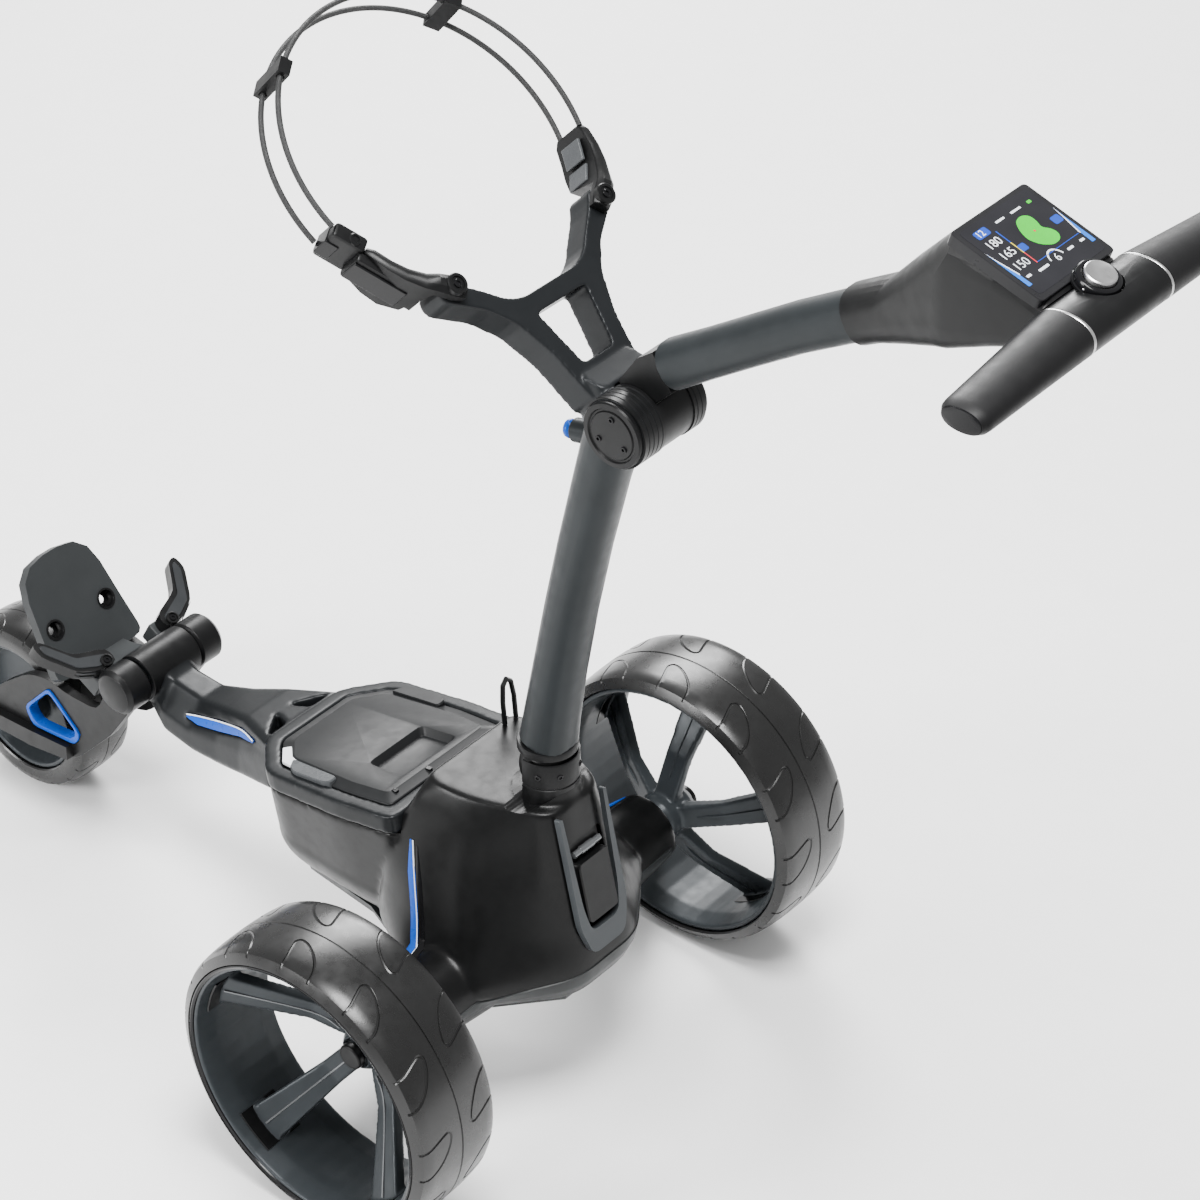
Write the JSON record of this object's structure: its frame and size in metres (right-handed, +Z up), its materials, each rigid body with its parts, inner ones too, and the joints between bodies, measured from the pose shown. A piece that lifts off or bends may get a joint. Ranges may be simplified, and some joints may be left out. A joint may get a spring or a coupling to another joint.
{
  "type": "electric golf trolley",
  "caption": "Battery-powered golf bag trolley with drive wheels, a folding front fork, mast and handle, bag cradles and a control console.",
  "frame": {"origin": "on the ground, under the centre of the trolley", "axes": "+Z up, +Y from the front wheel towards the handle, +X across the trolley"},
  "size_m": [0.565, 1.2303, 0.9986],
  "materials": {
    "black_plastic": "satin",
    "graphite_paint": "satin",
    "tyre_rubber": "satin",
    "blue_plastic": "gloss",
    "steel": "brushed",
    "screen_glass": "gloss",
    "grip_rubber": "matte",
    "battery_case": "satin",
    "circuit_board": "satin",
    "bungee_cord": "woven"
  },
  "bodies": {
    "chassis": {"main_housing": "black_plastic", "housing_base": "black_plastic", "chassis_arm": "graphite_paint", "arm_inlay_left": "blue_plastic", "arm_inlay_right": "blue_plastic", "side_stripe_left": "blue_plastic", "side_stripe_right": "blue_plastic", "lower_bag_plate": "graphite_paint", "latch_frame": "graphite_paint", "towel_loop": "black_plastic", "motor": "steel", "gearbox": "steel", "axle_bearing_left": "steel", "axle_bearing_right": "steel", "controller_board": "circuit_board", "battery_connector": "black_plastic"},
    "battery": {"battery_case": "battery_case", "battery_lid": "battery_case"},
    "latch": {"mast_latch_lever": "black_plastic"},
    "fork": {"fork_leg_left": "black_plastic", "fork_leg_right": "black_plastic", "fork_trim_left": "blue_plastic", "fork_trim_right": "blue_plastic", "fork_pin": "steel", "front_axle": "steel"},
    "front_wheel": {"front_tyre": "tyre_rubber", "front_rim": "graphite_paint"},
    "rear_wheel_left": {"rear_tyre_left": "tyre_rubber", "rear_rim_left": "graphite_paint", "drive_axle_left": "steel"},
    "rear_wheel_right": {"rear_tyre_right": "tyre_rubber", "rear_rim_right": "graphite_paint", "drive_axle_right": "steel"},
    "release_left": {"wheel_release_left": "black_plastic"},
    "release_right": {"wheel_release_right": "black_plastic"},
    "lower_arm_left": {"lower_bag_arm_left": "black_plastic"},
    "lower_arm_right": {"lower_bag_arm_right": "black_plastic"},
    "mast": {"mast_tube": "graphite_paint", "mast_foot": "black_plastic", "bag_bracket": "graphite_paint", "hinge_pin": "steel", "hinge_cap_left": "black_plastic", "hinge_cap_right": "black_plastic", "bungee_lower": "bungee_cord", "bungee_upper": "bungee_cord", "bungee_clip_left": "black_plastic", "bungee_clip_right": "black_plastic"},
    "hinge_release": {"hinge_button": "blue_plastic"},
    "upper_arm_left": {"upper_bag_arm_left": "black_plastic"},
    "upper_arm_right": {"upper_bag_arm_right": "black_plastic"},
    "handle": {"handle_knuckle": "black_plastic", "handle_tube": "graphite_paint", "console_housing": "black_plastic", "tbar_core": "black_plastic", "screen_glass": "screen_glass", "grip_left": "grip_rubber", "grip_right": "grip_rubber"},
    "dial": {"speed_dial": "black_plastic"},
    "dial_push": {"dial_button": "steel"}
  },
  "joints": [
    {"name": "battery_lift", "type": "slide", "parent": "chassis", "child": "battery", "axis": [0, 0.1702, -0.9854], "range_m": [-0.1, 0]},
    {"name": "mast_latch", "type": "hinge", "parent": "chassis", "child": "latch", "pos_m": [0, 0.1442, 0.2648], "axis": [1, 0, 0], "range_deg": [0, 35], "stiffness_Nm_per_rad": 0.5},
    {"name": "fork_fold", "type": "hinge", "parent": "chassis", "child": "fork", "pos_m": [0, -0.35925, 0.2035], "axis": [1, 0, 0], "range_deg": [0, 85]},
    {"name": "front_wheel_spin", "type": "hinge", "parent": "fork", "child": "front_wheel", "pos_m": [0, -0.52725, 0.088], "axis": [1, 0, 0], "continuous": true},
    {"name": "rear_wheel_left_spin", "type": "hinge", "parent": "chassis", "child": "rear_wheel_left", "pos_m": [0.19, 0.07575, 0.1375], "axis": [1, 0, 0], "continuous": true},
    {"name": "rear_wheel_right_spin", "type": "hinge", "parent": "chassis", "child": "rear_wheel_right", "pos_m": [-0.19, 0.07575, 0.1375], "axis": [1, 0, 0], "continuous": true},
    {"name": "wheel_release_left_push", "type": "slide", "parent": "rear_wheel_left", "child": "release_left", "axis": [-1, 0, 0], "range_m": [0, 0.0025], "stiffness_N_per_m": 800},
    {"name": "wheel_release_right_push", "type": "slide", "parent": "rear_wheel_right", "child": "release_right", "axis": [1, 0, 0], "range_m": [0, 0.0025], "stiffness_N_per_m": 800},
    {"name": "lower_arm_left_swing", "type": "hinge", "parent": "chassis", "child": "lower_arm_left", "pos_m": [0.0417, -0.38505, 0.2174], "axis": [0, -0.4918, -0.8707], "range_deg": [-15, 25]},
    {"name": "lower_arm_right_swing", "type": "hinge", "parent": "chassis", "child": "lower_arm_right", "pos_m": [-0.0417, -0.38505, 0.2174], "axis": [0, 0.4918, 0.8707], "range_deg": [-15, 25]},
    {"name": "mast_fold", "type": "hinge", "parent": "chassis", "child": "mast", "pos_m": [0, 0.10325, 0.326], "axis": [1, 0, 0], "range_deg": [0, 80]},
    {"name": "hinge_button_push", "type": "slide", "parent": "mast", "child": "hinge_release", "axis": [0, 0.9739, 0.227], "range_m": [0, 0.004], "stiffness_N_per_m": 500},
    {"name": "upper_arm_left_swing", "type": "hinge", "parent": "mast", "child": "upper_arm_left", "pos_m": [0.085, 0.08425, 0.812], "axis": [0, -0.6791, -0.734], "range_deg": [-15, 25]},
    {"name": "upper_arm_right_swing", "type": "hinge", "parent": "mast", "child": "upper_arm_right", "pos_m": [-0.085, 0.08425, 0.812], "axis": [0, 0.6791, 0.734], "range_deg": [-15, 25]},
    {"name": "handle_fold", "type": "hinge", "parent": "mast", "child": "handle", "pos_m": [0, 0.20775, 0.717], "axis": [1, 0, 0], "range_deg": [-120, 0]},
    {"name": "speed_dial_turn", "type": "hinge", "parent": "handle", "child": "dial", "pos_m": [0, 0.58325, 0.9745], "axis": [0, 0.294, 0.9558], "continuous": true},
    {"name": "dial_button_push", "type": "slide", "parent": "dial", "child": "dial_push", "axis": [0, -0.294, -0.9558], "range_m": [0, 0.0015], "stiffness_N_per_m": 600}
  ]
}
